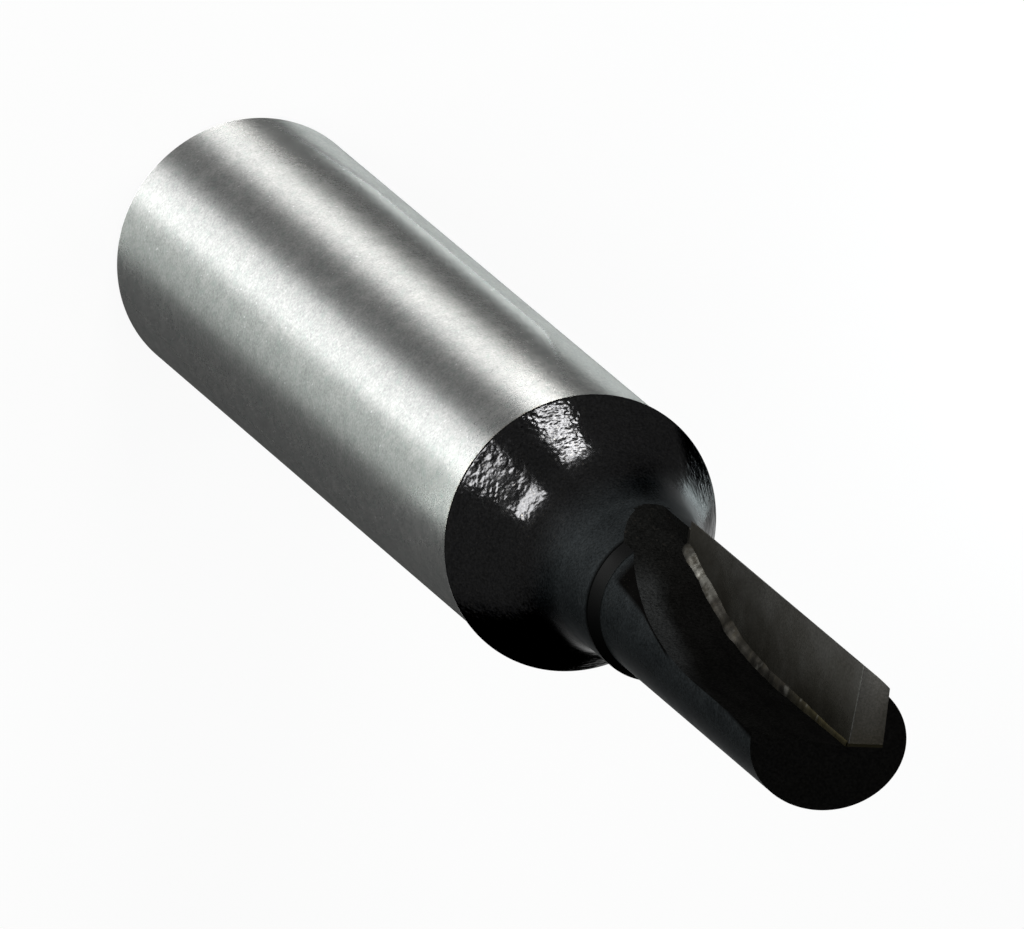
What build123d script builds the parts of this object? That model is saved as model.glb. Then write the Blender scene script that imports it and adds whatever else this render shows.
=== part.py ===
"""Single-flute straight router bit with a brazed-in carbide plate.

Millimetres.  The bit stands on the back face of its shank: Z runs up the tool axis to the
cutting end, X runs across the plate to its cutting edge, and the rake face looks along +Y.
Seen from the cutting end the bit turns counter-clockwise in its work (a right-hand cut).
"""

import os
from math import atan2, cos, radians, sin, sqrt, tan

from build123d import *

os.makedirs("parts", exist_ok=True)

# ------------------------------------------------------------------ driving dimensions
# Shank: the ground cylinder that a collet grips.
shank_diameter = 12.7
shank_length = 44.0
shank_end_chamfer = 0.6

# Collar and shoulder: left proud of the ground shank, then coned down to the neck.
collar_proud = 0.16
collar_land = 0.15
collar_edge_radius = 0.15
shoulder_half_angle = 30.0
shoulder_blend_radius = 10.0

# Neck and cutter body.  Every height below is measured up from the shoulder's base.
neck_diameter = 7.3
neck_end_height = 10.7
neck_edge_radius = 0.08
step_length = 0.6
body_diameter = 6.6

# Cutting end: one plane ground across the body, with the plate left slightly proud of it.
end_height = 31.23
end_dish_angle = 10.3
end_fall_angle = 16.5
plate_proud = 0.15

# Gullet: a flat floor near the axis, an arc, and a straight ramp that runs out on the neck.
# The ramp is placed by how far it stands from the axis where the plate ends at the back.
rake_offset = 0.8
floor_offset = -0.1
floor_skew = 4.5
floor_back_offset = 2.564
floor_arc_radius = 26.0
ramp_angle = 17.5
gullet_clear_radius = 4.6

# Carbide plate: ground to the cutting circle, with a curved relief behind its edge.
cutting_diameter = 8.0
clearance_angle = 20.0
relief_radius = 8.0
plate_back_height = 10.85
plate_thickness = 1.46
plate_back_angle = 3.4

# Braze: a film between plate and pocket, and a bead along the corner of the gullet.
film_behind = 0.06
film_inside = 0.2
bead_root = 0.1
bead_sag = 0.22
bead_start_leg = 0.34
bead_main_leg = 0.44
bead_tip_floor_leg = 0.12
bead_tip_plate_leg = 0.28
bead_taper_length = 6.0

# ------------------------------------------------------------------ worked-out sizes
shank_radius = shank_diameter / 2
collar_radius = shank_radius + collar_proud
neck_radius = neck_diameter / 2
body_radius = body_diameter / 2
cutting_radius = cutting_diameter / 2

shoulder_z = shank_length
cone_start_z = shoulder_z + collar_land
cone_end_z = cone_start_z + (collar_radius - neck_radius) / tan(radians(shoulder_half_angle))
neck_end_z = shoulder_z + neck_end_height
body_start_z = neck_end_z + step_length
plate_back_z = shoulder_z + plate_back_height
film_start_z = plate_back_z - film_inside
end_z = shoulder_z + end_height
blank_top_z = end_z + cutting_diameter

# The rake plane holds the plate's front face; the end plane rises to the cutting corner.
rake_plane = Plane(origin=(0, -rake_offset, 0), x_dir=(1, 0, 0), z_dir=(0, -1, 0))
end_plane = Plane(
    origin=(0, 0, end_z),
    z_dir=(-tan(radians(end_dish_angle)), tan(radians(end_fall_angle)), 1),
)

# Along the pocket's back wall, outwards, and along its inside wall, backwards.
pocket_out = Vector(cos(radians(plate_back_angle)), sin(radians(plate_back_angle)))
pocket_back = Vector(sin(radians(plate_back_angle)), -cos(radians(plate_back_angle)))

# The relief circle passes through the cutting edge, turned inwards by the clearance angle.
edge_x = sqrt(cutting_radius**2 - rake_offset**2)
relief_angle = atan2(-rake_offset, edge_x) - radians(clearance_angle)
relief_centre = (
    edge_x - relief_radius * cos(relief_angle),
    -rake_offset - relief_radius * sin(relief_angle),
)

# The gullet's floor: flat down to floor_flat_z, arc down to ramp_start_z, then the ramp.
ramp_start_x = floor_offset + floor_arc_radius * (1 - cos(radians(ramp_angle)))
ramp_start_z = plate_back_z + (floor_back_offset - ramp_start_x) / tan(radians(ramp_angle))
floor_flat_z = ramp_start_z + floor_arc_radius * sin(radians(ramp_angle))
ramp_end_z = ramp_start_z - (gullet_clear_radius - ramp_start_x) / tan(radians(ramp_angle))
floor_direction = (sin(radians(floor_skew)), cos(radians(floor_skew)), 0)


def floor_x(z):
    """Distance of the gullet's floor from the axis at height z, on the rake plane."""
    if z >= floor_flat_z:
        return floor_offset
    if z >= ramp_start_z:
        rise = sqrt(floor_arc_radius**2 - (floor_flat_z - z) ** 2)
        return floor_offset + floor_arc_radius - rise
    return ramp_start_x + (ramp_start_z - z) * tan(radians(ramp_angle))


def plate_section(back_film, inside_film):
    """Outline of the plate across the axis; with no films it is the outline of its pocket."""
    inside_x = floor_offset + inside_film / cos(radians(plate_back_angle))
    inner_front = Vector(inside_x, -rake_offset)
    inner_back = inner_front + pocket_back * (plate_thickness + film_behind - back_film)
    outer_back = inner_back + pocket_out * cutting_diameter
    outer_front = Vector(outer_back.X, -rake_offset)
    return Polyline(inner_front, inner_back, outer_back, outer_front, close=True)


# ------------------------------------------------------------------ gullet, the volume milled away
with BuildPart() as gullet:
    with BuildSketch(rake_plane):
        with BuildLine():
            arc_middle_z = (floor_flat_z + ramp_start_z) / 2
            flat = Line((floor_offset, blank_top_z), (floor_offset, floor_flat_z))
            arc = ThreePointArc(
                flat @ 1,
                (floor_x(arc_middle_z), arc_middle_z),
                (ramp_start_x, ramp_start_z),
            )
            ramp = Line(arc @ 1, (gullet_clear_radius, ramp_end_z))
            Polyline(ramp @ 1, (collar_radius, ramp_end_z), (collar_radius, blank_top_z), flat @ 0)
        make_face()
    extrude(amount=2 * collar_radius, dir=floor_direction)

# ------------------------------------------------------------------ pocket, the plate's milled seat
with BuildPart() as pocket:
    with BuildSketch(Plane.XY.offset(film_start_z)):
        with BuildLine():
            plate_section(back_film=0, inside_film=0)
        make_face()
    extrude(amount=blank_top_z - film_start_z)

# ------------------------------------------------------------------ cutter body, one turned piece
with BuildPart() as cutter_body:
    with BuildSketch(Plane.XZ) as profile:
        with BuildLine():
            Polyline(
                (0, 0),
                (shank_radius, 0),
                (shank_radius, shoulder_z),
                (collar_radius, shoulder_z),
                (collar_radius, cone_start_z),
                (neck_radius, cone_end_z),
                (neck_radius, neck_end_z),
                (body_radius, body_start_z),
                (body_radius, blank_top_z),
                (0, blank_top_z),
                close=True,
            )
        make_face()
        corners = profile.vertices()
        shank_corner = corners.sort_by_distance((shank_radius, 0, 0))[0]
        collar_corner = corners.sort_by_distance((collar_radius, 0, cone_start_z))[0]
        blend_corner = corners.sort_by_distance((neck_radius, 0, cone_end_z))[0]
        neck_corner = corners.sort_by_distance((neck_radius, 0, neck_end_z))[0]
        chamfer(shank_corner, shank_end_chamfer)
        fillet(collar_corner, collar_edge_radius)
        fillet(blend_corner, shoulder_blend_radius)
        fillet(neck_corner, neck_edge_radius)
    revolve(axis=Axis.Z)
    add(gullet.part, mode=Mode.SUBTRACT)
    add(pocket.part, mode=Mode.SUBTRACT)
    split(bisect_by=end_plane, keep=Keep.BOTTOM)

cutter_body.part.label = "cutter_body"
export_step(cutter_body.part, "parts/cutter_body.step")

# ------------------------------------------------------------------ carbide plate
with BuildPart() as carbide_plate:
    with BuildSketch(Plane.XY.offset(plate_back_z)):
        with BuildLine():
            plate_section(back_film=film_behind, inside_film=film_inside)
        make_face()
        with Locations(relief_centre):
            Circle(relief_radius, mode=Mode.INTERSECT)
    extrude(amount=blank_top_z - plate_back_z)
    split(bisect_by=end_plane.offset(plate_proud), keep=Keep.BOTTOM)

carbide_plate.part.label = "carbide_plate"
export_step(carbide_plate.part, "parts/carbide_plate.step")

# ------------------------------------------------------------------ braze bead, before it is seated
# The bead keeps one size from the ramp up, then thins over its last stretch to the end.
bead_taper_z = end_z - bead_taper_length
bead_heights = (
    ramp_start_z,
    (ramp_start_z + floor_flat_z) / 2,
    floor_flat_z,
    bead_taper_z,
    end_z,
    end_z + bead_taper_length / 4,
)
bead_heights = (film_start_z, *sorted(z for z in bead_heights if z > film_start_z))


def bead_legs(z):
    """Legs of the bead at height z: along the gullet's floor and along the plate's face."""
    if z == film_start_z:
        return bead_start_leg, bead_start_leg
    thinned = min(max((z - bead_taper_z) / bead_taper_length, 0), 1)
    floor_leg = bead_main_leg + thinned * (bead_tip_floor_leg - bead_main_leg)
    plate_leg = bead_main_leg + thinned * (bead_tip_plate_leg - bead_main_leg)
    return floor_leg, plate_leg


with BuildPart() as bead:
    for height in bead_heights:
        corner_x, corner_y = floor_x(height), -rake_offset
        floor_leg, plate_leg = bead_legs(height)
        with BuildSketch(Plane.XY.offset(height)):
            with BuildLine():
                hollow = SagittaArc(
                    (corner_x + plate_leg + bead_root, corner_y - bead_root),
                    (corner_x - bead_root, corner_y + floor_leg + bead_root),
                    bead_sag * floor_leg,
                )
                Polyline(hollow @ 1, (corner_x - bead_root, corner_y - bead_root), hollow @ 0)
            make_face()
    loft()

# ------------------------------------------------------------------ braze: film and bead, seated
with BuildPart() as braze:
    with BuildSketch(Plane.XY.offset(film_start_z)):
        with BuildLine():
            plate_section(back_film=0, inside_film=0)
        make_face()
        Circle(body_radius, mode=Mode.INTERSECT)
    extrude(amount=blank_top_z - film_start_z)
    add(bead.part)
    add(carbide_plate.part, mode=Mode.SUBTRACT)
    add(cutter_body.part, mode=Mode.SUBTRACT)
    split(bisect_by=end_plane, keep=Keep.BOTTOM)

braze.part.label = "braze"
export_step(braze.part, "parts/braze.step")
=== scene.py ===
"""Looks of a single-flute straight router bit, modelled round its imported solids.

The bit stands on the back face of its shank: Z runs up the tool axis to the cutting end,
X runs across the carbide plate to its cutting edge, and the rake face looks along +Y.
The bit's constants are in millimetres, and the scene and its panel are in metres.
"""

import math

import bmesh
import bpy
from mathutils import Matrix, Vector, noise


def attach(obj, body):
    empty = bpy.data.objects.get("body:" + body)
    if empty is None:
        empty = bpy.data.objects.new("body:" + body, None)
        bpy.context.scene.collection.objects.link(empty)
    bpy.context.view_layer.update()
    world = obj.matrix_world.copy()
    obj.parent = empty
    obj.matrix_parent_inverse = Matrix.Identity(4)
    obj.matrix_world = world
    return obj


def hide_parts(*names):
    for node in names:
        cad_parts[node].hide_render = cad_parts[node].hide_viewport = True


bl_info = {
    "name": "Router Bit Workshop",
    "version": (1, 0, 0),
    "blender": (4, 5, 0),
    "location": "View3D > Sidebar > Router Bit",
    "description": "Models and finishes a brazed single-flute router bit on its stage",
    "category": "Object",
}

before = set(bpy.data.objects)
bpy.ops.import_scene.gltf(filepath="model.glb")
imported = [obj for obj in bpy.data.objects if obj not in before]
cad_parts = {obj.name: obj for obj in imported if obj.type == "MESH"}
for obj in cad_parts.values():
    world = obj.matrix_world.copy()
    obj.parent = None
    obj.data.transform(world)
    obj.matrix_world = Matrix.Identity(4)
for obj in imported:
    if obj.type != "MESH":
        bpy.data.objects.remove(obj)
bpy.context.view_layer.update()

MM = 0.001

# ------------------------------------------------------------------ the bit's fixed sizes
SHANK_RADIUS = 6.35
SHANK_LENGTH = 44.0
SHANK_CHAMFER = 0.6
COLLAR_RADIUS = 6.51
COLLAR_LAND = 0.15
COLLAR_EDGE = 0.15
CONE_HALF_ANGLE = 30.0
BLEND_RADIUS = 10.0
NECK_RADIUS = 3.65
NECK_END = 54.7
NECK_EDGE = 0.08
BODY_START = 55.3
BODY_RADIUS = 3.3
BLANK_TOP = 83.23

RAKE_Y = -0.8
FLOOR_OFFSET = -0.1
FLOOR_SKEW = 4.5
FLOOR_ARC = 26.0
RAMP_ANGLE = 17.5
FLOOR_BACK = 2.564
GULLET_CLEAR = 4.6
PLATE_BACK = 54.85

CUTTING_RADIUS = 4.0
CLEARANCE_ANGLE = 20.0
RELIEF_RADIUS = 8.0
PLATE_THICKNESS = 1.46
PLATE_BACK_ANGLE = 3.4
FILM_BEHIND = 0.06
FILM_INSIDE = 0.2
PLATE_PROUD = 0.15
SEAT_ABOVE_RAKE = 0.4
BAR_RADIUS = 12.0
END_Z = 75.23
END_DISH = 10.3
END_FALL = 16.5

RAMP_TAN = math.tan(math.radians(RAMP_ANGLE))
RAMP_X = FLOOR_OFFSET + FLOOR_ARC * (1 - math.cos(math.radians(RAMP_ANGLE)))
RAMP_Z = PLATE_BACK + (FLOOR_BACK - RAMP_X) / RAMP_TAN
FLAT_Z = RAMP_Z + FLOOR_ARC * math.sin(math.radians(RAMP_ANGLE))
RUN_OUT_Z = RAMP_Z - (GULLET_CLEAR - RAMP_X) / RAMP_TAN
FILM_START = PLATE_BACK - FILM_INSIDE
END_NORMAL = Vector(
    (-math.tan(math.radians(END_DISH)), math.tan(math.radians(END_FALL)), 1)
).normalized()
END_POINT = Vector((0, 0, END_Z))
PLATE_END_POINT = END_POINT + END_NORMAL * PLATE_PROUD
POCKET_OUT = Vector(
    (math.cos(math.radians(PLATE_BACK_ANGLE)), math.sin(math.radians(PLATE_BACK_ANGLE)), 0)
)
POCKET_BACK = Vector((POCKET_OUT.y, -POCKET_OUT.x, 0))

# Heights that tell the bit's regions apart when faces and edges are chosen.
COLLAR_REGION_TOP = SHANK_LENGTH + 1
NECK_REGION = 50.0
END_REGION = 60.0

# Facets round the pieces, and rings or stations along them.
BODY_FACETS = 256
PLATE_FACETS = 720
BAR_FACETS = 64
SHANK_RINGS = (11, 22, 33)
COLLAR_EDGE_STEPS = 4
CONE_STEPS = 24
BLEND_STEPS = 32
NECK_EDGE_STEPS = 3
BODY_STEPS = 34
FLOOR_ARC_STEPS = 40

# The slots of the body's and the plate's materials, in the order in which they are added.
COATED, MILLED, WORN = 1, 2, 3
PLATE_END, HONED = 1, 2

# How near counts as touching, in millimetres, and how parallel counts as the same facing.
# The gullet's floor is given more of both, because it is skewed and runs out on a slope. An
# edge is crisp from CRISP_ANGLE degrees on.
WELD_GAP = 0.0005
SAW_SNAP = 0.0001
SAME_SPOT = 0.00001
NEAR = 0.001
SIDE_NEAR = 0.01
FLOOR_NEAR = 0.05
RIM_CLEAR = 0.05
SAME_FACING = 0.999
SIDE_FACING = 0.99
FLOOR_FACING = 0.9
CRISP_ANGLE = 28


def floor_x(z):
    """Distance of the gullet's floor from the axis at height z, on the rake plane."""
    if z >= FLAT_Z:
        return FLOOR_OFFSET
    if z >= RAMP_Z:
        return FLOOR_OFFSET + FLOOR_ARC - math.sqrt(FLOOR_ARC**2 - (FLAT_Z - z) ** 2)
    return RAMP_X + (RAMP_Z - z) * RAMP_TAN


# ------------------------------------------------------------------ hand tools
def deselect():
    """Leaves edit mode and selects nothing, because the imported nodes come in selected."""
    if bpy.context.object and bpy.context.object.mode != "OBJECT":
        bpy.ops.object.mode_set(mode="OBJECT")
    bpy.ops.object.select_all(action="DESELECT")


def hold(piece):
    """Selects this piece alone and makes it the active one."""
    deselect()
    piece.select_set(True)
    bpy.context.view_layer.objects.active = piece


def pick(piece, kind, test):
    """In edit mode, selects only the vertices, edges or faces that pass the test."""
    bpy.ops.mesh.select_mode(type={"verts": "VERT", "edges": "EDGE", "faces": "FACE"}[kind])
    bpy.ops.mesh.select_all(action="DESELECT")
    shape = bmesh.from_edit_mesh(piece.data)
    found = [part for part in getattr(shape, kind) if test(part)]
    for part in found:
        part.select_set(True)
    shape.select_flush_mode()
    bmesh.update_edit_mesh(piece.data)
    if not found:
        raise RuntimeError(f"{piece.name}: nothing to select among its {kind}")
    return found


def settle(piece):
    """Puts a piece's place into its mesh, and turns its faces outwards."""
    hold(piece)
    bpy.ops.object.transform_apply(location=True, rotation=True, scale=True)
    bpy.ops.object.mode_set(mode="EDIT")
    bpy.ops.mesh.select_all(action="SELECT")
    bpy.ops.mesh.remove_doubles(threshold=WELD_GAP * MM)
    bpy.ops.mesh.normals_make_consistent(inside=False)
    bpy.ops.object.mode_set(mode="OBJECT")


def apply_modifier(piece, kind, **values):
    """Adds a modifier with these values and applies it."""
    hold(piece)
    tool = piece.modifiers.new(kind.title(), kind)
    for key, value in values.items():
        setattr(tool, key, value)
    bpy.ops.object.modifier_apply(modifier=tool.name)


def cut_away(piece, cutter):
    """Takes the cutter's volume out of the piece, and clears the cutter."""
    apply_modifier(piece, "BOOLEAN", operation="DIFFERENCE", solver="EXACT", object=cutter)
    bpy.data.objects.remove(cutter)


def trim_to_round(piece):
    """Keeps what lies inside the turned body's round."""
    round_body = turn_blank("round_body", BODY_FACETS)
    apply_modifier(piece, "BOOLEAN", operation="INTERSECT", solver="EXACT", object=round_body)
    bpy.data.objects.remove(round_body)


def saw(piece, point, normal):
    """Cuts the piece with a plane and keeps what lies behind it, with the cut closed."""
    hold(piece)
    bpy.ops.object.mode_set(mode="EDIT")
    bpy.ops.mesh.select_all(action="SELECT")
    bpy.ops.mesh.bisect(
        plane_co=Vector(point) * MM,
        plane_no=normal,
        use_fill=True,
        clear_outer=True,
        threshold=SAW_SNAP * MM,
    )
    bpy.ops.object.mode_set(mode="OBJECT")


def smooth(piece, angle):
    """Smooth shading, with the edges sharper than the angle kept crisp."""
    hold(piece)
    bpy.ops.object.shade_smooth_by_angle(angle=math.radians(angle))


# ------------------------------------------------------------------ turned and milled body
def convex_round(z, radius, round_radius, turn, steps):
    """Rings of the round where a cylinder that ends at height z turns into a cone."""
    set_back = round_radius * math.tan(turn / 2)
    rings = []
    for step in range(steps + 1):
        angle = turn * step / steps
        ring_z = z - set_back + round_radius * math.sin(angle)
        rings.append((ring_z, radius - round_radius * (1 - math.cos(angle))))
    return rings


def turned_profile():
    """Height and radius of each turned ring, from the back face up."""
    rings = [(0.0, SHANK_RADIUS - SHANK_CHAMFER), (SHANK_CHAMFER, SHANK_RADIUS)]
    rings += [(z, SHANK_RADIUS) for z in (*SHANK_RINGS, SHANK_LENGTH)]
    rings.append((SHANK_LENGTH, COLLAR_RADIUS))
    half = math.radians(CONE_HALF_ANGLE)
    edge_z = SHANK_LENGTH + COLLAR_LAND
    rings += convex_round(edge_z, COLLAR_RADIUS, COLLAR_EDGE, half, COLLAR_EDGE_STEPS)
    cone_end = edge_z + (COLLAR_RADIUS - NECK_RADIUS) / math.tan(half)
    reach = BLEND_RADIUS * math.tan(half / 2)
    arc_start_z = cone_end - reach * math.cos(half)
    start_z = rings[-1][0]
    for step in range(1, CONE_STEPS):
        z = start_z + (arc_start_z - start_z) * step / CONE_STEPS
        rings.append((z, COLLAR_RADIUS - (z - edge_z) * math.tan(half)))
    for step in range(BLEND_STEPS + 1):
        turn = half * (1 - step / BLEND_STEPS)
        z = cone_end + reach - BLEND_RADIUS * math.sin(turn)
        rings.append((z, NECK_RADIUS + BLEND_RADIUS * (1 - math.cos(turn))))
    slope = math.atan2(NECK_RADIUS - BODY_RADIUS, BODY_START - NECK_END)
    rings += convex_round(NECK_END, NECK_RADIUS, NECK_EDGE, slope, NECK_EDGE_STEPS)
    for step in range(BODY_STEPS + 1):
        z = BODY_START + (BLANK_TOP - BODY_START) * step / BODY_STEPS
        rings.append((z, BODY_RADIUS))
    return rings


def turn_blank(name, segments):
    """Turns the blank: a disc drawn up ring by ring to the profile."""
    rings = turned_profile()
    deselect()
    bpy.ops.mesh.primitive_circle_add(
        vertices=segments, radius=rings[0][1] * MM, fill_type="NGON", location=(0, 0, 0)
    )
    blank = bpy.context.object
    blank.name = name
    bpy.ops.object.mode_set(mode="EDIT")
    bpy.ops.mesh.select_all(action="SELECT")
    for (z_before, r_before), (z, r) in zip(rings, rings[1:]):
        bpy.ops.mesh.extrude_region_move(
            TRANSFORM_OT_translate={"value": (0, 0, (z - z_before) * MM)}
        )
        if r != r_before:
            bpy.ops.transform.resize(
                value=(r / r_before, r / r_before, 1), center_override=(0, 0, z * MM)
            )
    bpy.ops.object.mode_set(mode="OBJECT")
    settle(blank)
    return blank


def gullet_cutter():
    """The milled gullet's volume, drawn down from above the end along its floor."""
    deselect()
    bpy.ops.mesh.primitive_plane_add(size=2 * MM, location=(0, 0, BLANK_TOP * MM + MM))
    cutter = bpy.context.object
    cutter.name = "gullet_cutter"
    bpy.ops.object.mode_set(mode="EDIT")
    depth = 2 * COLLAR_RADIUS
    skew = depth * math.tan(math.radians(FLOOR_SKEW))
    corners = {
        (-1, -1): (floor_x(BLANK_TOP), RAKE_Y),
        (1, -1): (COLLAR_RADIUS, RAKE_Y),
        (1, 1): (COLLAR_RADIUS, RAKE_Y + depth),
        (-1, 1): (floor_x(BLANK_TOP) + skew, RAKE_Y + depth),
    }
    for (side, front), (x, y) in corners.items():
        spot = Vector((side * MM, front * MM, 0))
        pick(cutter, "verts", lambda v, s=spot: (v.co - s).length < NEAR * MM)
        bpy.ops.transform.translate(value=((x - side) * MM, (y - front) * MM, 0))
    heights = [
        FLAT_Z + (RAMP_Z - FLAT_Z) * step / FLOOR_ARC_STEPS
        for step in range(FLOOR_ARC_STEPS + 1)
    ]
    heights += [PLATE_BACK, RUN_OUT_Z]
    z_before, x_before = BLANK_TOP + 1, floor_x(BLANK_TOP)
    bpy.ops.mesh.select_all(action="SELECT")
    for z in heights:
        bpy.ops.mesh.select_mode(type="FACE")
        bpy.ops.mesh.extrude_region_move(
            TRANSFORM_OT_translate={"value": (0, 0, (z - z_before) * MM)}
        )
        x = floor_x(z)
        if x != x_before:
            low = (z - BLANK_TOP - 1) * MM
            pick(
                cutter,
                "verts",
                lambda v: abs(v.co.z - low) < NEAR * MM
                and v.co.x < (COLLAR_RADIUS - NEAR) * MM,
            )
            bpy.ops.transform.translate(value=((x - x_before) * MM, 0, 0))
            pick(
                cutter,
                "faces",
                lambda f: all(abs(v.co.z - low) < NEAR * MM for v in f.verts),
            )
        z_before, x_before = z, x
    settle(cutter)
    return cutter


def pocket_prism(
    name,
    radius=BAR_RADIUS,
    centre=(0, 0),
    low=FILM_START,
    back_film=0,
    inside_film=0,
    facets=BAR_FACETS,
):
    """A round bar sawn down to the plate's section: to the rake plane, the back and the inside.

    The films are how far it stays clear of the pocket's back and inner walls.
    """
    deselect()
    height = BLANK_TOP + 1 - low
    bpy.ops.mesh.primitive_cylinder_add(
        vertices=facets,
        radius=radius * MM,
        depth=height * MM,
        location=(centre[0] * MM, centre[1] * MM, (low + height / 2) * MM),
    )
    prism = bpy.context.object
    prism.name = name
    settle(prism)
    inner = Vector(
        (
            FLOOR_OFFSET + inside_film / math.cos(math.radians(PLATE_BACK_ANGLE)),
            RAKE_Y,
            0,
        )
    )
    back = inner + POCKET_BACK * (PLATE_THICKNESS + FILM_BEHIND - back_film)
    saw(prism, inner, (0, 1, 0))
    saw(prism, back, POCKET_BACK)
    saw(prism, inner, -POCKET_OUT)
    return prism


def relief_centre():
    """Centre of the relief circle, which passes through the cutting edge at its clearance."""
    edge_x = math.sqrt(CUTTING_RADIUS**2 - RAKE_Y**2)
    turn = math.atan2(RAKE_Y, edge_x) - math.radians(CLEARANCE_ANGLE)
    return (
        edge_x - RELIEF_RADIUS * math.cos(turn),
        RAKE_Y - RELIEF_RADIUS * math.sin(turn),
    )


def round_edges(piece, test, width, segments, material=-1):
    """Rounds the crisp edges that pass the test, and gives the round this material."""
    hold(piece)
    bpy.ops.object.mode_set(mode="EDIT")
    pick(
        piece,
        "edges",
        lambda e: len(e.link_faces) == 2
        and e.calc_face_angle() > math.radians(CRISP_ANGLE)
        and test((e.verts[0].co + e.verts[1].co) / 2 / MM, e),
    )
    bpy.ops.mesh.bevel(
        offset=width * MM,
        segments=segments,
        profile=0.5,
        affect="EDGES",
        clamp_overlap=True,
        material=material,
    )
    bpy.ops.object.mode_set(mode="OBJECT")


def paint_faces(piece, index, test):
    """Gives the faces that pass the test the material of this index."""
    for face in piece.data.polygons:
        if test(face.center / MM, face.normal):
            face.material_index = index


def is_end(normal):
    """Whether a face looks as the ground end does."""
    return normal.dot(END_NORMAL) > SAME_FACING


def is_milled(centre, normal):
    """Whether a face is the gullet's floor or its side by the plate, or the ground end."""
    skew = (centre.y - RAKE_Y) * math.tan(math.radians(FLOOR_SKEW))
    off_floor = centre.x - floor_x(centre.z) - skew
    is_floor = normal.x > FLOOR_FACING and abs(off_floor) < FLOOR_NEAR
    is_side = normal.y > SIDE_FACING and abs(centre.y - RAKE_Y) < SIDE_NEAR
    return centre.z > RUN_OUT_Z and (is_floor or is_side or is_end(normal))


def on_gullet_rim(centre, edge):
    """Whether an edge bounds the gullet's faces, clear of the plate."""
    milled = any(face.material_index == MILLED for face in edge.link_faces)
    return milled and centre.z > NECK_REGION and centre.y > RAKE_Y + RIM_CLEAR


def on_end_rim(centre, edge):
    """Whether an edge bounds the ground end."""
    return centre.z > END_REGION and any(is_end(face.normal) for face in edge.link_faces)


def on_honed_line(centre, edge):
    """Whether an edge parts the plate's rake face from its end."""
    slots = {face.material_index for face in edge.link_faces}
    return len(slots) > 1 and centre.z > END_REGION and abs(centre.y - RAKE_Y) < NEAR


# ------------------------------------------------------------------ braze seam
# The bead starts blunt in the film, leans over onto the plate, and thins to its tip before
# the end plane saws it off. A stretch is (start, length), in millimetres, and lumps are
# (height, two seeds, how many a millimetre).
BEAD_LOW = FILM_START + 0.02
BEAD_HIGH = END_Z + 0.6
BEAD_STATIONS = 150
BEAD_SECTIONS = 8
BEAD_ROOT = 0.04
BEAD_CROWN = 0.55
BEAD_RIPPLE = 0.05
BEAD_RIPPLE_TURN = 44.7
BEAD_LUMPS = ((0.05, 3.1, 0.4, 0.9), (0.04, 7.7, 2.1, 2.7))
BEAD_START = (BEAD_LOW, 0.6)
BEAD_START_SIZE = 0.55
BEAD_LEAN = (61.5, 3.5)
BEAD_LEAN_OUT = 0.1
BEAD_LEAN_DOWN = 0.21
BEAD_FLOOR_SHORT = 0.02
BEAD_THINNING = (END_Z - 7, 5)
BEAD_TIP_LEGS = (0.26, 0.06)


def rise(value, start, length):
    """A share that climbs from 0 at the start to 1 at the stretch's end."""
    return min(max((value - start) / length, 0), 1)


def bead_legs(z, leg):
    """How far the bead reaches along the plate, and up the floor, at height z."""
    share = (z - BEAD_LOW) / (BEAD_HIGH - BEAD_LOW)
    swell = leg + BEAD_RIPPLE * math.sin(BEAD_RIPPLE_TURN * share) * (1 - share)
    for height, seed_x, seed_y, per_millimetre in BEAD_LUMPS:
        swell += height * noise.noise(Vector((seed_x, seed_y, z * per_millimetre)))
    lean = rise(z, *BEAD_LEAN)
    thin = rise(z, *BEAD_THINNING)
    tip_along, tip_up = BEAD_TIP_LEGS
    along_plate = (swell + BEAD_LEAN_OUT * lean) * (1 - thin) + tip_along * thin
    up_floor = (swell - BEAD_FLOOR_SHORT - BEAD_LEAN_DOWN * lean) * (1 - thin) + tip_up * thin
    size = BEAD_START_SIZE + (1 - BEAD_START_SIZE) * rise(z, *BEAD_START) ** 0.5
    return along_plate * size, up_floor * size


def bead_outline():
    """The bead's section for legs of 1: two walls with their roots, and a low crown."""
    outline = [(-BEAD_ROOT, -BEAD_ROOT), (1 + BEAD_ROOT, -BEAD_ROOT)]
    for step in range(1, BEAD_SECTIONS):
        turn = step / BEAD_SECTIONS
        crown = BEAD_CROWN * turn * (1 - turn)
        outline.append((1 - turn + crown, turn + crown))
    outline.append((-BEAD_ROOT, 1 + BEAD_ROOT))
    return outline


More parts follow.
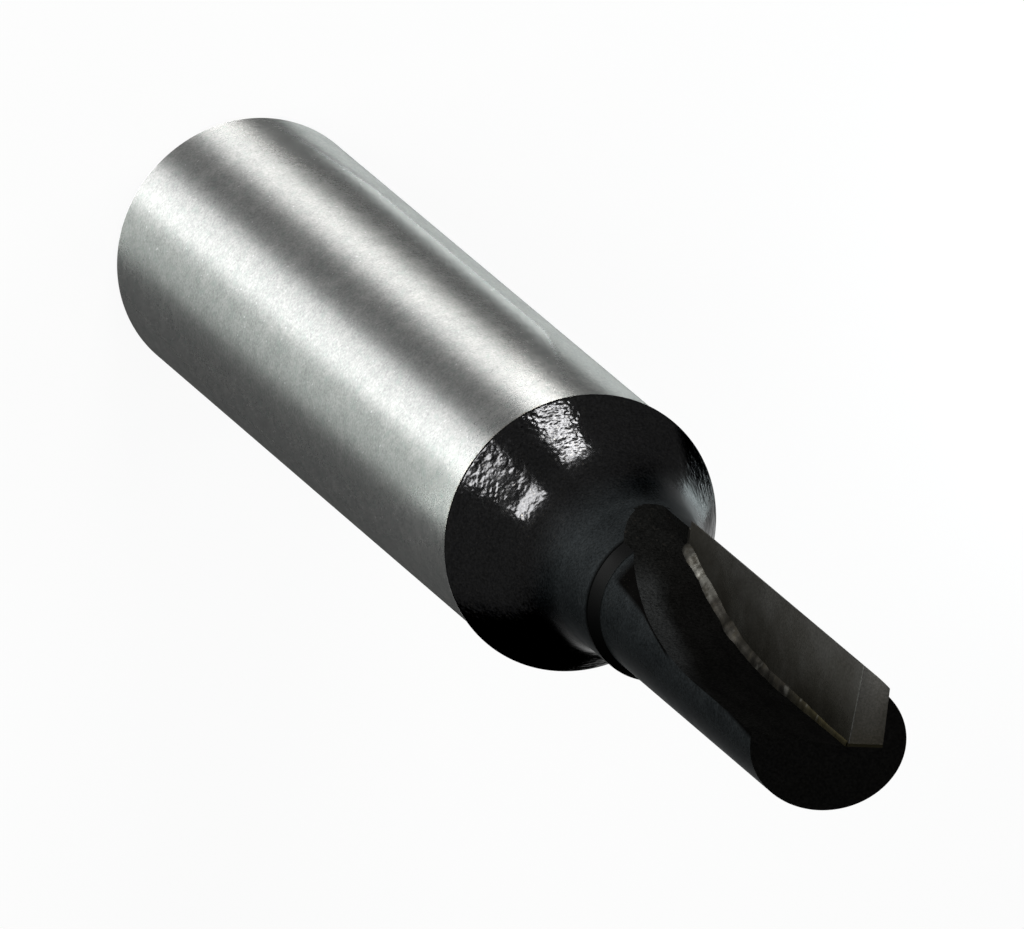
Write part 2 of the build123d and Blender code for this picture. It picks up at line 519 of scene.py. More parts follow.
def braze_bead(leg):
    """The bead in the gullet's corner, drawn up station by station."""
    outline = bead_outline()
    deselect()
    bpy.ops.mesh.primitive_circle_add(
        vertices=len(outline), radius=MM, fill_type="NGON", location=(0, 0, 0)
    )
    bead = bpy.context.object
    bead.name = "braze_seam"
    spots = [vertex.co.copy() for vertex in bead.data.vertices]
    along_plate, up_floor = bead_legs(BEAD_LOW, leg)
    x = floor_x(BEAD_LOW)
    bpy.ops.object.mode_set(mode="EDIT")
    for spot, (across, up) in zip(spots, outline):
        pick(bead, "verts", lambda v, s=spot: (v.co - s).length < SAME_SPOT * MM)
        place = Vector(
            ((x + across * along_plate) * MM, (RAKE_Y + up * up_floor) * MM, BEAD_LOW * MM)
        )
        bpy.ops.transform.translate(value=place - spot)
    bpy.ops.mesh.select_mode(type="FACE")
    bpy.ops.mesh.select_all(action="SELECT")
    z_before, x_before, along_before, up_before = BEAD_LOW, x, along_plate, up_floor
    for step in range(1, BEAD_STATIONS + 1):
        z = BEAD_LOW + (BEAD_HIGH - BEAD_LOW) * step / BEAD_STATIONS
        x = floor_x(z)
        along_plate, up_floor = bead_legs(z, leg)
        bpy.ops.mesh.extrude_region_move(
            TRANSFORM_OT_translate={"value": ((x - x_before) * MM, 0, (z - z_before) * MM)}
        )
        bpy.ops.transform.resize(
            value=(along_plate / along_before, up_floor / up_before, 1),
            center_override=(x * MM, RAKE_Y * MM, z * MM),
        )
        z_before, x_before, along_before, up_before = z, x, along_plate, up_floor
    bpy.ops.object.mode_set(mode="OBJECT")
    settle(bead)
    return bead


# ------------------------------------------------------------------ materials
# Stains and wear, and painted shade and reflections, over the colours that the panel sets.
STEEL_GREENISH = (0.20, 0.235, 0.22)
STEEL_FLECK = (0.52, 0.52, 0.52)
STEEL_SCORCHED = (0.16, 0.125, 0.08)
# A painted dark reflection on the coat beside the groove.
COAT_DARK_REFLECTION = (0.0035, 0.0033, 0.0032)
COAT_DUST = (0.05, 0.045, 0.035)
# Painted shade on the step behind the cutter.
COAT_STEP_PAINTED_SHADE = (0.0028, 0.0028, 0.0028)
# A painted reflection on the open side of the gullet's floor.
GULLET_PAINTED_REFLECTION = (0.0155, 0.016, 0.016)
GULLET_RUN_OUT = (0.0078, 0.0078, 0.0074)
GULLET_SPECK = (0.07, 0.06, 0.05)
EDGE_BLACK = (0.003, 0.003, 0.003)
EDGE_RUBBED = (0.10, 0.08, 0.055)
HONE_DARK = (0.038, 0.037, 0.035)
HONE_LIGHT = (0.062, 0.061, 0.058)
FILLER_STAINED = (0.018, 0.016, 0.012)

# How strongly each metal glints where it is seen at a low angle, with clean metal as 1.
STEEL_GLINT = 0.05
# The coat's glint is lowered on the shoulder's far side and at its rim as painted shade, and raised
# on its flank as a painted sheen.
COAT_GLINT = 0.42
COAT_PAINTED_SHEEN_GLINT = 0.50
COAT_RIM_GLINT = 0.34
COAT_PAINTED_SHADE_GLINT = 0.05
MILLED_GLINT = 0.15
CARBIDE_GLINT = 0.3
FILLER_GLINT = 0.4

# Stretches of an axis, in millimetres, over which the finishes and the painted shade change.
# Each name ends with its axis.
SCORCH_Z = (SHANK_LENGTH - 0.5, SHANK_LENGTH)
SATIN_Z = (48.4, 51.2)
SATIN_SOONER_Y = (-3.6, -0.6)
CRINKLE_DEEP_Z = (44.4, 46.8)
CRINKLE_FLAT_Z = (47.6, 49.4)
GROOVE_SIDE_Y = (2.0, 2.3)
WEDGE_Z = (55.5, 56.4)
HAIRLINE_START_Z = (56.4, 57.2)
HAIRLINE_END_Z = (63.2, 63.9)
STEP_START_Z = (54.3, 54.62)
STEP_END_Z = (55.28, 55.5)
SHADE_SIDE_X = (-4.6, -2.4)
SHADE_END_Z = (54.2, 54.7)
FLANK_START_Y = (-5.4, -3.7)
FLANK_END_Y = (-2.5, -0.5)
RIM_Y = (-5.8, -3.6)
SATIN_GLINT_Z = (48.5, 51.5)
RAMP_START_Z = (55.0, 57.5)
RAMP_END_Z = (64.5, 69.5)
RUN_OUT_END_Z = (54.0, 58.0)
RUBBED_RIM_Z = (53.5, 55.5)
CARBIDE_OUT_X = (0.2, 3.6)
CARBIDE_OUT_Z = (55.0, 62.0)
BRIGHT_START_Z = (55.6, 57.2)
BRIGHT_END_Z = (57.4, 59.0)
BRASSY_Z = (68.0, 72.0)


def grey(level):
    """A grey of this level."""
    return (level, level, level)


class Finish:
    """A material's node tree, with its Principled shader and its coordinates in millimetres."""

    def __init__(self, name):
        self.material = bpy.data.materials.new(name)
        self.material.use_nodes = True
        self.nodes = self.material.node_tree.nodes
        self.links = self.material.node_tree.links
        self.shader = self.nodes["Principled BSDF"]
        place = self.nodes.new("ShaderNodeTexCoord")
        self.place = self.scaled(place.outputs["Object"], (1000, 1000, 1000))

    def set(self, **sockets):
        """Sets constants on the shader's own sockets."""
        for name, value in sockets.items():
            self.shader.inputs[name.replace("_", " ")].default_value = value

    def scaled(self, vector, scale):
        """The coordinates, stretched."""
        mapping = self.nodes.new("ShaderNodeMapping")
        mapping.inputs["Scale"].default_value = scale
        self.links.new(vector, mapping.inputs["Vector"])
        return mapping.outputs["Vector"]

    def noise(self, size, detail=2.0, rough=0.5, place=None):
        """Soft noise whose lumps are about this many millimetres across."""
        field = self.nodes.new("ShaderNodeTexNoise")
        field.inputs["Scale"].default_value = 1 / size
        field.inputs["Detail"].default_value = detail
        field.inputs["Roughness"].default_value = rough
        self.links.new(place or self.place, field.inputs["Vector"])
        return field.outputs["Fac"]

    def ramp(self, value, low, high, to_low=0.0, to_high=1.0):
        """Maps a range to another, clamped."""
        node = self.nodes.new("ShaderNodeMapRange")
        node.inputs["From Min"].default_value = low
        node.inputs["From Max"].default_value = high
        node.inputs["To Min"].default_value = to_low
        node.inputs["To Max"].default_value = to_high
        self.links.new(value, node.inputs["Value"])
        return node.outputs["Result"]

    def along(self, letter, stretch, to_low=0.0, to_high=1.0):
        """Maps a stretch of an axis to a range, clamped."""
        return self.ramp(self.axis(letter), *stretch, to_low, to_high)

    def math(self, operation, first, second):
        """Arithmetic on outputs or numbers."""
        node = self.nodes.new("ShaderNodeMath")
        node.operation = operation
        for socket, value in zip(node.inputs, (first, second)):
            if isinstance(value, (int, float)):
                socket.default_value = value
            else:
                self.links.new(value, socket)
        return node.outputs[0]

    def product(self, *factors):
        """The factors multiplied together, from the first on."""
        result = factors[0]
        for factor in factors[1:]:
            result = self.math("MULTIPLY", result, factor)
        return result

    def blend(self, share, first, second):
        """A mix of two colours."""
        node = self.nodes.new("ShaderNodeMix")
        node.data_type = "RGBA"
        self.links.new(share, node.inputs["Factor"])
        for socket, value in ((node.inputs[6], first), (node.inputs[7], second)):
            if isinstance(value, tuple):
                socket.default_value = (*value, 1)
            else:
                self.links.new(value, socket)
        return node.outputs[2]

    def shade(self, colour, factor):
        """A colour made lighter or darker by a factor."""
        node = self.nodes.new("ShaderNodeVectorMath")
        node.operation = "SCALE"
        self.links.new(colour, node.inputs[0])
        self.links.new(factor, node.inputs["Scale"])
        return node.outputs[0]

    def axis(self, letter):
        """One coordinate, in millimetres."""
        parts = self.nodes.new("ShaderNodeSeparateXYZ")
        self.links.new(self.place, parts.inputs[0])
        return parts.outputs[letter]

    def slope(self, across, along, per, offset):
        """A straight boundary on the surface: across + per times along, less an offset."""
        sloped = self.product(self.axis(along), per)
        return self.math("SUBTRACT", self.math("ADD", self.axis(across), sloped), offset)

    def bump(self, height, depth, under=None):
        """Relief of this many millimetres."""
        node = self.nodes.new("ShaderNodeBump")
        node.inputs["Strength"].default_value = 1.0
        node.inputs["Distance"].default_value = depth * MM
        self.links.new(height, node.inputs["Height"])
        if under:
            self.links.new(under, node.inputs["Normal"])
        return node.outputs["Normal"]

    def wire(self, **sockets):
        """Links outputs to the shader's sockets."""
        for name, output in sockets.items():
            self.links.new(output, self.shader.inputs[name.replace("_", " ")])


def ground_steel(settings):
    """Bright steel, ground round the shank: its microscopic scratches spread the gloss along it."""
    finish = Finish("ground_steel")
    grain = finish.noise(0.13, detail=3, rough=0.75)
    blotch = finish.noise(0.9, detail=4, rough=0.65)
    rings = finish.noise(1.0, detail=2, place=finish.scaled(finish.place, (0.12, 0.12, 7.0)))
    tone = finish.math("ADD", finish.product(grain, 0.65), finish.product(blotch, 0.35))
    colour = finish.blend(
        finish.ramp(tone, 0.37, 0.63), tuple(settings.steel_dark), tuple(settings.steel_light)
    )
    hue = finish.noise(0.35, detail=3, rough=0.7)
    colour = finish.blend(finish.ramp(hue, 0.52, 0.7, 0, 0.5), colour, STEEL_GREENISH)
    flecks = finish.noise(0.17, detail=1)
    colour = finish.blend(finish.ramp(flecks, 0.70, 0.80, 0, 0.7), colour, STEEL_FLECK)
    scorch = finish.product(
        finish.along("Z", SCORCH_Z),
        finish.ramp(finish.noise(0.28, detail=3, rough=0.7), 0.42, 0.6),
    )
    finish.wire(
        Base_Color=finish.blend(scorch, colour, STEEL_SCORCHED),
        Roughness=finish.ramp(blotch, 0.3, 0.7, 0.52, 0.59),
        Normal=finish.bump(rings, 0.0004, under=finish.bump(grain, 0.0014)),
    )
    finish.set(
        Metallic=1.0,
        Specular_Tint=(*grey(STEEL_GLINT), 1),
        Anisotropic=1.0,
        Anisotropic_Rotation=0.25,
    )
    tangent = finish.nodes.new("ShaderNodeTangent")
    tangent.direction_type = "RADIAL"
    tangent.axis = "Z"
    finish.links.new(tangent.outputs[0], finish.shader.inputs["Tangent"])
    return finish.material


def coat_glint(finish):
    """Glint by place: painted shade on the shoulder's far side and rim, painted sheen on its flank,
    low on satin.
    """
    dull = finish.product(
        finish.along("X", SHADE_SIDE_X, 1, 0), finish.along("Z", SHADE_END_Z, 1, 0)
    )
    flank = finish.product(
        finish.along("Y", FLANK_END_Y, 1, 0), finish.along("Y", FLANK_START_Y)
    )
    rim = grey(COAT_RIM_GLINT)
    glint = finish.blend(flank, grey(COAT_GLINT), grey(COAT_PAINTED_SHEEN_GLINT))
    glint = finish.blend(finish.along("Y", RIM_Y, 1, 0), glint, rim)
    glint = finish.blend(finish.along("Z", SATIN_GLINT_Z), glint, rim)
    return finish.blend(dull, glint, grey(COAT_PAINTED_SHADE_GLINT))


def black_coat(settings):
    """Black coat: glossy and crinkled on the shoulder, satin from the neck on."""
    finish = Finish("black_coat")
    z = finish.axis("Z")
    # The gloss gives way to satin by the neck, and sooner on the plate's side.
    sooner = finish.along("Y", SATIN_SOONER_Y, 2.0, 0.0)
    satin = finish.ramp(finish.math("ADD", z, sooner), *SATIN_Z)
    peel = finish.noise(0.46, detail=1.5, rough=0.5)
    crinkle = finish.noise(0.23, detail=1, rough=0.5)
    sag = finish.noise(1.5, detail=1, rough=0.4)
    relief = finish.math("ADD", peel, finish.product(crinkle, 0.3))
    relief = finish.math("ADD", relief, finish.product(sag, 1.4))
    # The crinkle is deepest by the collar and flattens towards the neck.
    relief = finish.product(
        relief,
        finish.along("Z", CRINKLE_DEEP_Z, 1.0, 0.6),
        finish.along("Z", CRINKLE_FLAT_Z, 1.0, 0.08),
    )
    dust = finish.noise(0.09, detail=1)
    cloud = finish.noise(1.3, detail=3)
    rough = finish.math(
        "ADD",
        finish.ramp(satin, 0, 1, 0.095, 0.46),
        finish.ramp(cloud, 0.3, 0.7, -0.02, 0.05),
    )
    colour = finish.blend(satin, tuple(settings.gloss_colour), tuple(settings.satin_colour))
    mottle = finish.noise(0.12, detail=3, rough=0.75)
    colour = finish.shade(colour, finish.ramp(mottle, 0.34, 0.66, 0.6, 1.4))
    # Beside the groove the coat is painted darker, a painted dark reflection: a wedge that runs out
    # along the groove's edge, and a hairline that leaves it.
    wedge = finish.product(
        finish.ramp(finish.slope("X", "Z", 0.085, 6.22), -0.1, 0.12),
        finish.along("Z", WEDGE_Z),
        finish.along("Y", GROOVE_SIDE_Y),
    )
    hairline = finish.product(
        finish.ramp(finish.slope("X", "Z", 0.217, 14.245), -0.16, -0.08),
        finish.along("Z", HAIRLINE_START_Z),
        finish.along("Z", HAIRLINE_END_Z, 1, 0),
        finish.along("Y", GROOVE_SIDE_Y),
    )
    colour = finish.blend(finish.math("MAXIMUM", wedge, hairline), colour, COAT_DARK_REFLECTION)
    colour = finish.blend(finish.ramp(dust, 0.66, 0.78, 0, 0.25), colour, COAT_DUST)
    # Painted shade: the step behind the cutter is coloured darker than the faces beside it.
    step = finish.product(
        finish.along("Z", STEP_START_Z), finish.along("Z", STEP_END_Z, 1, 0)
    )
    finish.wire(
        Base_Color=finish.blend(step, colour, COAT_STEP_PAINTED_SHADE),
        Roughness=rough,
        Normal=finish.bump(relief, settings.crinkle_depth / MM),
        Specular_Tint=coat_glint(finish),
    )
    finish.set(Metallic=1.0)
    return finish.material


def milled_black(settings):
    """The gullet's coat: black beside the plate, painted greyer on its floor's open side as a
    reflection.
    """
    finish = Finish("milled_black")
    rough = finish.noise(0.16, detail=2, rough=0.6)
    specks = finish.noise(0.2, detail=1)
    drift = finish.noise(1.0, detail=2, place=finish.scaled(finish.place, (0.9, 0.9, 0.35)))
    wander = finish.ramp(drift, 0.3, 0.7, -0.15, 0.15)
    # Painted reflection: along the ramp, the floor's open side is coloured greyer.
    open_side = finish.math("ADD", finish.slope("Y", "Z", -0.17, -8.3), wander)
    on_ramp = finish.product(
        finish.along("Z", RAMP_START_Z), finish.along("Z", RAMP_END_Z, 1, 0)
    )
    greyer = finish.product(finish.ramp(open_side, -0.4, 0.4), on_ramp)
    colour = finish.blend(greyer, tuple(settings.gullet_colour), GULLET_PAINTED_REFLECTION)
    run_out = finish.along("Z", RUN_OUT_END_Z, 1, 0)
    colour = finish.blend(run_out, colour, GULLET_RUN_OUT)
    mottle = finish.noise(0.13, detail=3, rough=0.75)
    colour = finish.shade(colour, finish.ramp(mottle, 0.34, 0.66, 0.5, 1.5))
    speckled = finish.product(finish.ramp(specks, 0.66, 0.8, 0, 0.22), run_out)
    finish.wire(
        Base_Color=finish.blend(speckled, colour, GULLET_SPECK),
        Roughness=finish.ramp(drift, 0.3, 0.7, 0.48, 0.58),
        Normal=finish.bump(rough, 0.003),
    )
    finish.set(Metallic=1.0, Specular_Tint=(*grey(MILLED_GLINT), 1))
    return finish.material


def worn_edge():
    """Bare, slightly browned steel where the coat has rubbed off an edge."""
    finish = Finish("worn_edge")
    rub = finish.noise(0.35, detail=3, rough=0.7)
    # The rim of the run-out is rubbed; the groove's long edge has kept its black.
    rubbed = finish.product(
        finish.ramp(rub, 0.38, 0.6), finish.along("Z", RUBBED_RIM_Z, 1, 0)
    )
    finish.wire(
        Base_Color=finish.blend(rubbed, EDGE_BLACK, EDGE_RUBBED),
        Roughness=finish.ramp(rub, 0.3, 0.7, 0.5, 0.4),
    )
    finish.set(Metallic=1.0, Specular_Tint=(*grey(MILLED_GLINT), 1))
    return finish.material


def carbide(settings, name="carbide", shade=1.0):
    """Fine-ground carbide: warm and dark by the braze, greyer towards the cutting edge."""
    finish = Finish(name)
    lines = finish.noise(1.0, detail=2, place=finish.scaled(finish.place, (0.8, 0.8, 16.0)))
    grain = finish.noise(0.09, detail=2)
    cloud = finish.noise(1.7, detail=2, rough=0.5)
    outward = finish.product(
        finish.along("X", CARBIDE_OUT_X), finish.along("Z", CARBIDE_OUT_Z, 0.15, 1.0)
    )
    wander = finish.math(
        "ADD", finish.ramp(cloud, 0.3, 0.7, -0.22, 0.22), finish.ramp(grain, 0.3, 0.7, -0.1, 0.1)
    )
    greyer = finish.ramp(finish.math("ADD", outward, wander), 0, 1)
    inner = tuple(shade * part for part in settings.inner_colour)
    outer = tuple(shade * part for part in settings.outer_colour)
    mottle = finish.noise(0.11, detail=3, rough=0.75)
    finish.wire(
        Base_Color=finish.shade(
            finish.blend(greyer, inner, outer), finish.ramp(mottle, 0.34, 0.66, 0.78, 1.22)
        ),
        Roughness=finish.ramp(cloud, 0.3, 0.7, 0.44, 0.50),
        Normal=finish.bump(lines, 0.0007, under=finish.bump(grain, 0.0008)),
    )
    finish.set(Metallic=1.0, Specular_Tint=(*grey(CARBIDE_GLINT), 1))
    return finish.material


def honed_edge():
    """The bright line that honing leaves along the plate's end."""
    finish = Finish("honed_edge")
    grain = finish.noise(0.12, detail=2)
    finish.wire(
        Base_Color=finish.blend(finish.ramp(grain, 0.35, 0.65), HONE_DARK, HONE_LIGHT),
        Roughness=finish.ramp(grain, 0.3, 0.7, 0.5, 0.6),
    )
    finish.set(Metallic=1.0)
    return finish.material


def braze_metal(settings):
    """Silver-brass filler: bright near the bead's start, dull along the seam, brassy at the tip."""
    finish = Finish("braze_metal")
    stain = finish.noise(0.5, detail=3, rough=0.6)
    fine = finish.noise(0.14, detail=2, rough=0.6)
    beads = finish.noise(0.45, detail=0)
    dull = finish.blend(
        finish.along("Z", BRASSY_Z), tuple(settings.dull_colour), tuple(settings.tip_colour)
    )
    bright_start = finish.product(
        finish.along("Z", BRIGHT_START_Z, 0.2, 1),
        finish.along("Z", BRIGHT_END_Z, 1, 0),
        finish.ramp(stain, 0.3, 0.55),
    )
    bright = finish.math("MAXIMUM", bright_start, finish.ramp(beads, 0.76, 0.86, 0, 0.4))
    colour = finish.blend(bright, dull, tuple(settings.bright_colour))
    stained = finish.ramp(stain, 0.36, 0.5, 0.55, 0)
    finish.wire(
        Base_Color=finish.blend(stained, colour, FILLER_STAINED),
        Roughness=finish.ramp(stain, 0.35, 0.65, 0.52, 0.40),
        Normal=finish.bump(fine, 0.007),
    )
    finish.set(Metallic=1.0, Specular_Tint=(*grey(FILLER_GLINT), 1))
    return finish.material


# ------------------------------------------------------------------ stage
# The floor's sizes and the camera's place are in metres, and its lens and sensor in
# millimetres. Angles are in degrees.
FLOOR_RADIUS = 6
FLOOR_HEIGHT = 0.3
FLOOR_FACETS = 128
FLOOR_GLOW = 0.9
CAMERA_LENS = 1372.2
CAMERA_SENSOR = 36
CAMERA_REACH = (0.1, 20)
CAMERA_PLACE = (0.4867939, 0.6454029, 1.5989153)
CAMERA_TURN = (-18.47218889, -20.50613842, -83.36038761)

# Each upright lamp's azimuth, its distance and its lower and upper edge in millimetres, its
# width as an angle seen from the axis, its radiance and its tint.
NEUTRAL = (1, 1, 1)
LAMPS = (
    ("lamp_right_low", 8.5, 300, 7, 23, 19, 115, NEUTRAL),
    ("lamp_left_low", 61, 190, 4, 30, 25.5, 69, NEUTRAL),
    ("lamp_right_high", 2.5, 400, 78, 182, 21, 19, (1.0, 0.985, 0.955)),
    ("lamp_left_high", 83, 400, 78, 182, 40, 14, (0.935, 1.0, 0.96)),
    ("lamp_side", -48, 500, 2, 150, 29, 14, (0.95, 1.0, 0.99)),
    ("lamp_back", 236, 500, 2, 150, 30, 8, NEUTRAL),
    ("lamp_back_left", 188, 500, 2, 150, 12, 8, NEUTRAL),
    ("lamp_streak", -90, 52, 2, 15, 22, 9, (0.86, 0.99, 1.0)),
)


def plain_floor(settings):
    """Shades as a plain floor, but looks an even white to the camera and in reflections."""
    finish = Finish("floor_pale")
    nodes, links = finish.nodes, finish.links
    nodes.remove(finish.shader)
    diffuse = nodes.new("ShaderNodeBsdfDiffuse")
    diffuse.inputs["Color"].default_value = (*settings.floor_colour, 1)
    glow = nodes.new("ShaderNodeEmission")
    glow.inputs["Strength"].default_value = 1.0
    path = nodes.new("ShaderNodeLightPath")
    seen = finish.math("MAXIMUM", path.outputs["Is Camera Ray"], path.outputs["Is Glossy Ray"])
    seen = finish.math("MAXIMUM", seen, path.outputs["Is Transmission Ray"])
    mix = nodes.new("ShaderNodeMixShader")
    links.new(finish.product(seen, FLOOR_GLOW), mix.inputs[0])
    links.new(diffuse.outputs[0], mix.inputs[1])
    links.new(glow.outputs[0], mix.inputs[2])
    links.new(mix.outputs[0], nodes["Material Output"].inputs["Surface"])
    return finish.material


def softbox(name, azimuth, distance, low, high, width_angle, radiance, tint):
    """A soft lamp that stands at an azimuth and looks level at the axis."""
    turn = math.radians(azimuth)
    height = high - low
    width = 2 * distance * math.tan(math.radians(width_angle / 2))
    lamp = bpy.data.lights.new(name, "AREA")
    lamp.shape = "RECTANGLE"
    lamp.color = tint
    lamp.size = width * MM
    lamp.size_y = height * MM
    lamp.energy = radiance * math.pi * lamp.size * lamp.size_y
    stand = bpy.data.objects.new(name, lamp)
    bpy.context.collection.objects.link(stand)
    stand.location = (
        distance * math.cos(turn) * MM,
        distance * math.sin(turn) * MM,
        (low + high) / 2 * MM,
    )
    back = Vector((math.cos(turn), math.sin(turn), 0))
    stand.rotation_mode = "QUATERNION"
    stand.rotation_quaternion = back.to_track_quat("Z", "Y")
    stand.visible_camera = False


def overhead(name, height, side, radiance):
    """A soft lamp that hangs over the bit and looks down."""
    lamp = bpy.data.lights.new(name, "AREA")
    lamp.shape = "SQUARE"
    lamp.size = side * MM
    lamp.energy = radiance * math.pi * lamp.size**2
    hanger = bpy.data.objects.new(name, lamp)
    bpy.context.collection.objects.link(hanger)
    hanger.location = (0, 0, height * MM)
    hanger.visible_camera = False


# ------------------------------------------------------------------ the add-on
def length_setting(name, description, default):
    """A size of a few hundredths or tenths of a millimetre, in the scene's own unit."""
    return bpy.props.FloatProperty(
        name=name,
        description=description,
        subtype="DISTANCE",
        unit="LENGTH",
        default=default * MM,
        min=0.0,
        soft_max=MM,
        precision=6,
    )


def colour_setting(name, description, default):
    """A finish's colour."""
    return bpy.props.FloatVectorProperty(
        name=name, description=description, subtype="COLOR", default=default, min=0.0, max=1.0
    )


class RouterBitBody(bpy.types.PropertyGroup):
    """The turned and milled steel body."""

    facets: bpy.props.IntProperty(
        name="Facets",
        description="Facets round the turned body",
        default=BODY_FACETS,
        min=64,
        max=512,
    )
    gullet_round: length_setting("Gullet round", "Round on the gullet's edges", 0.035)
    shank_round: length_setting("Shank round", "Round on the shank's and collar's edges", 0.05)
    end_round: length_setting("End round", "Round on the edge of the end face", 0.04)
    crinkle_depth: length_setting(
        "Crinkle depth", "Depth of the crinkle in the shoulder's coat", 0.023
    )
    steel_dark: colour_setting(
        "Steel, dark", "Darkest grain of the ground steel", (0.175, 0.18, 0.178)
    )
    steel_light: colour_setting(
        "Steel, light", "Lightest grain of the ground steel", (0.325, 0.325, 0.318)
    )
    gloss_colour: colour_setting("Glossy coat", "Coat on the shoulder", (0.0092, 0.0092, 0.0094))
    satin_colour: colour_setting(
        "Satin coat", "Coat on the neck and the cutter", (0.0185, 0.0206, 0.0216)
    )
    gullet_colour: colour_setting("Gullet", "Coat in the milled gullet", (0.0052, 0.0051, 0.0048))


class RouterBitPlate(bpy.types.PropertyGroup):
    """The carbide plate."""

    facets: bpy.props.IntProperty(
        name="Facets",
        description="Facets round the relief circle",
        default=PLATE_FACETS,
        min=128,
        max=1440,
    )
    edge_round: length_setting("Edge round", "Round on the plate's edges", 0.02)
    hone_width: length_setting("Hone width", "Width of the honed line at the plate's end", 0.035)
    inner_colour: colour_setting(
        "Inner carbide", "Carbide beside the braze", (0.0345, 0.032, 0.026)
    )
    outer_colour: colour_setting(
        "Outer carbide", "Carbide by the cutting edge", (0.046, 0.045, 0.042)
    )


class RouterBitBraze(bpy.types.PropertyGroup):
    """The braze film and bead."""

    bead_leg: length_setting("Bead leg", "Leg of the bead in the gullet's corner", 0.37)
    bright_colour: colour_setting(
        "Bright filler", "Filler where it was fed in", (0.10, 0.098, 0.088)
    )
    dull_colour: colour_setting("Dull filler", "Filler along the seam", (0.0165, 0.0155, 0.0135))
    tip_colour: colour_setting("Brassy filler", "Filler at the cutting end", (0.027, 0.024, 0.014))


class RouterBitStage(bpy.types.PropertyGroup):
    """Floor, lamps and camera."""

    floor_colour: colour_setting("Floor colour", "Colour of the plain floor", (0.85, 0.85, 0.85))
    sky_level: bpy.props.FloatProperty(
        name="Sky level", description="Even light from all round", default=0.05, min=0.0, max=1.0
    )


class ROUTERBIT_OT_stage(bpy.types.Operator):
    """Sets the floor, the lamps and the camera"""

    bl_idname = "routerbit.stage"
    bl_label = "Set the Stage"

    def execute(self, context):
        settings = context.scene.routerbit_stage
        deselect()
        bpy.ops.mesh.primitive_cylinder_add(
            vertices=FLOOR_FACETS,
            radius=FLOOR_RADIUS,
            depth=FLOOR_HEIGHT,
            location=(0, 0, FLOOR_HEIGHT / 2),
        )
        floor = context.object
        floor.name = "floor"
        bpy.ops.object.mode_set(mode="EDIT")
        pick(floor, "faces", lambda f: f.normal.z > SAME_FACING)
        bpy.ops.mesh.delete(type="ONLY_FACE")
        bpy.ops.mesh.select_all(action="SELECT")
        bpy.ops.mesh.flip_normals()
        bpy.ops.object.mode_set(mode="OBJECT")
        floor.data.materials.append(plain_floor(settings))

        world = bpy.data.worlds.new("studio")
        world.use_nodes = True
        sky = world.node_tree.nodes["Background"].inputs[0]
        sky.default_value = (*grey(settings.sky_level), 1)
        context.scene.world = world

        for lamp in LAMPS:
            softbox(*lamp)
        overhead("lamp_over", height=500, side=250, radiance=3)

        camera_data = bpy.data.cameras.new("camera")
        camera_data.lens = CAMERA_LENS
        camera_data.sensor_width = CAMERA_SENSOR
        camera_data.clip_start, camera_data.clip_end = CAMERA_REACH
        camera = bpy.data.objects.new("camera", camera_data)
        context.collection.objects.link(camera)
        camera.location = CAMERA_PLACE
        camera.rotation_euler = [math.radians(turn) for turn in CAMERA_TURN]
        context.scene.camera = camera
        context.scene.view_settings.view_transform = "Standard"
        return {"FINISHED"}


class ROUTERBIT_OT_body(bpy.types.Operator):
    """Turns and mills the steel body, and rounds its edges"""

    bl_idname = "routerbit.body"
    bl_label = "Make the Steel Body"

    def execute(self, context):
        settings = context.scene.routerbit_body
        body = turn_blank("turned_body", settings.facets)
        cut_away(body, gullet_cutter())
        cut_away(body, pocket_prism("pocket_cutter"))
        saw(body, END_POINT, END_NORMAL)
        for make in (ground_steel, black_coat, milled_black):
            body.data.materials.append(make(settings))
        body.data.materials.append(worn_edge())
        paint_faces(body, COATED, lambda centre, normal: centre.z > SHANK_LENGTH - NEAR)
        paint_faces(body, MILLED, is_milled)
        round_edges(body, on_gullet_rim, settings.gullet_round / MM, segments=2, material=WORN)
        round_edges(
            body,
            lambda centre, edge: centre.z < COLLAR_REGION_TOP,
            settings.shank_round / MM,
            segments=2,
        )
        round_edges(body, on_end_rim, settings.end_round / MM, segments=2)
        smooth(body, CRISP_ANGLE)
        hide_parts("cutter_body")
        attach(body, "root")
        return {"FINISHED"}


class ROUTERBIT_OT_plate(bpy.types.Operator):
    """Saws the carbide plate from a round of its relief circle, and hones its edges"""

    bl_idname = "routerbit.plate"
    bl_label = "Make the Carbide Plate"

    def execute(self, context):
        settings = context.scene.routerbit_plate
        plate = pocket_prism(
            "carbide_tip",
            RELIEF_RADIUS,
            relief_centre(),
            PLATE_BACK,
            FILM_BEHIND,
            FILM_INSIDE,
            settings.facets,
        )
        saw(plate, PLATE_END_POINT, END_NORMAL)
        plate.data.materials.append(carbide(settings))
        # Painted light: the plate's end gets a copy of the carbide made 2.6 times lighter.
        plate.data.materials.append(carbide(settings, "carbide_end", shade=2.6))
        plate.data.materials.append(honed_edge())
        paint_faces(plate, PLATE_END, lambda centre, normal: is_end(normal))
        round_edges(plate, on_honed_line, settings.hone_width / MM, segments=1, material=HONED)
        round_edges(plate, lambda centre, edge: True, settings.edge_round / MM, segments=2)
        smooth(plate, angle=25)
        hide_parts("carbide_plate")
        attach(plate, "root")
        return {"FINISHED"}


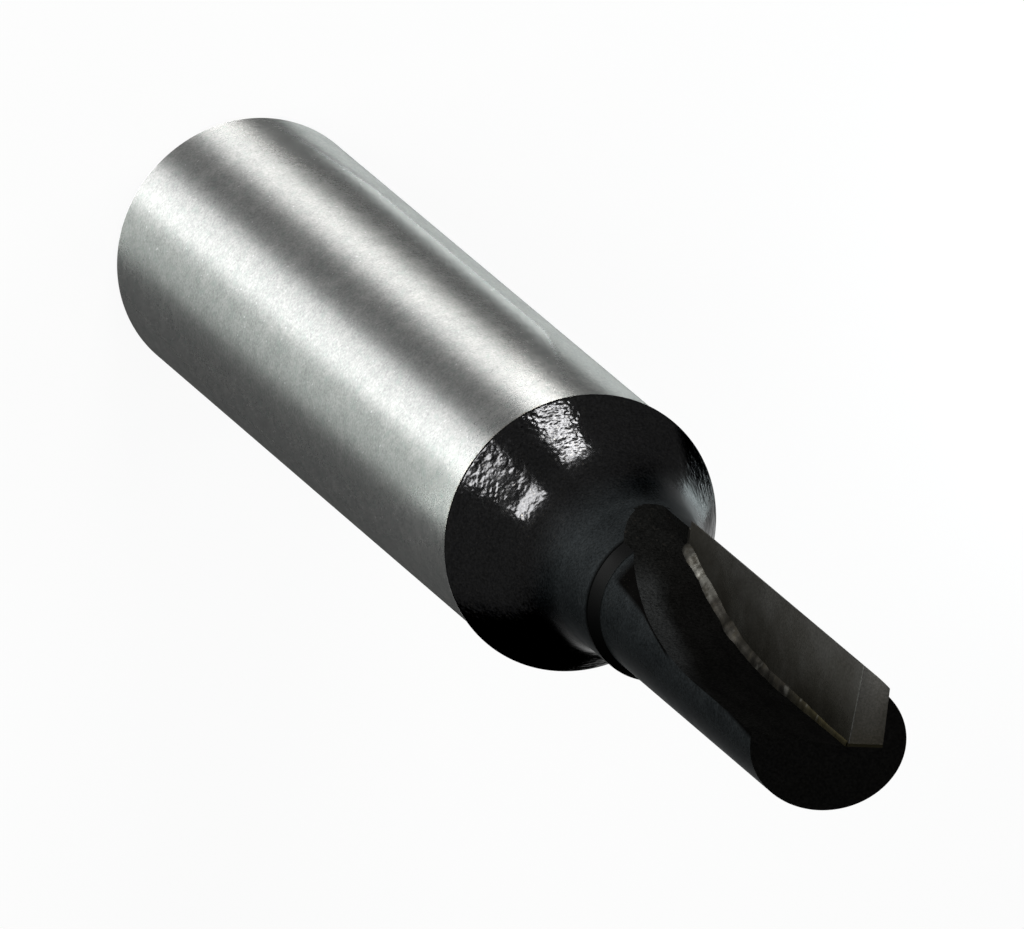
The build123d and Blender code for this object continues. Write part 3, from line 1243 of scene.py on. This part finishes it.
class ROUTERBIT_OT_braze(bpy.types.Operator):
    """Flows the braze film round the plate, and the bead along the gullet's corner"""

    bl_idname = "routerbit.braze"
    bl_label = "Make the Braze"

    def execute(self, context):
        settings = context.scene.routerbit_braze
        film = pocket_prism("braze_film")
        trim_to_round(film)
        seat = pocket_prism(
            "plate_seat", low=PLATE_BACK, back_film=FILM_BEHIND, inside_film=FILM_INSIDE
        )
        hold(seat)
        bpy.ops.object.mode_set(mode="EDIT")
        pick(seat, "faces", lambda f: f.normal.y > SAME_FACING)
        bpy.ops.transform.translate(value=(0, SEAT_ABOVE_RAKE * MM, 0))
        bpy.ops.object.mode_set(mode="OBJECT")
        cut_away(film, seat)
        seam = braze_bead(settings.bead_leg / MM)
        deselect()
        film.select_set(True)
        seam.select_set(True)
        context.view_layer.objects.active = seam
        bpy.ops.object.join()
        saw(seam, END_POINT, END_NORMAL)
        seam.data.materials.append(braze_metal(settings))
        smooth(seam, angle=40)
        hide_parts("braze")
        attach(seam, "root")
        return {"FINISHED"}


class ROUTERBIT_PT_workshop(bpy.types.Panel):
    """Lists the pieces' sizes and colours, each group above the button that makes it"""

    bl_idname = "ROUTERBIT_PT_workshop"
    bl_label = "Router Bit"
    bl_space_type = "VIEW_3D"
    bl_region_type = "UI"
    bl_category = "Router Bit"

    def draw(self, context):
        for group, kind, button in GROUPS:
            box = self.layout.box()
            for name in kind.__annotations__:
                box.prop(getattr(context.scene, group), name)
            box.operator(button)


GROUPS = (
    ("routerbit_stage", RouterBitStage, "routerbit.stage"),
    ("routerbit_body", RouterBitBody, "routerbit.body"),
    ("routerbit_plate", RouterBitPlate, "routerbit.plate"),
    ("routerbit_braze", RouterBitBraze, "routerbit.braze"),
)
CLASSES = (
    RouterBitStage,
    RouterBitBody,
    RouterBitPlate,
    RouterBitBraze,
    ROUTERBIT_OT_stage,
    ROUTERBIT_OT_body,
    ROUTERBIT_OT_plate,
    ROUTERBIT_OT_braze,
    ROUTERBIT_PT_workshop,
)


def register():
    for item in CLASSES:
        bpy.utils.register_class(item)
    for group, kind, _ in GROUPS:
        setattr(bpy.types.Scene, group, bpy.props.PointerProperty(type=kind))


def unregister():
    for group, _, _ in GROUPS:
        delattr(bpy.types.Scene, group)
    for item in reversed(CLASSES):
        bpy.utils.unregister_class(item)


def main():
    register()
    bpy.ops.routerbit.stage()
    bpy.ops.routerbit.body()
    bpy.ops.routerbit.plate()
    bpy.ops.routerbit.braze()


if __name__ == "__main__":
    main()
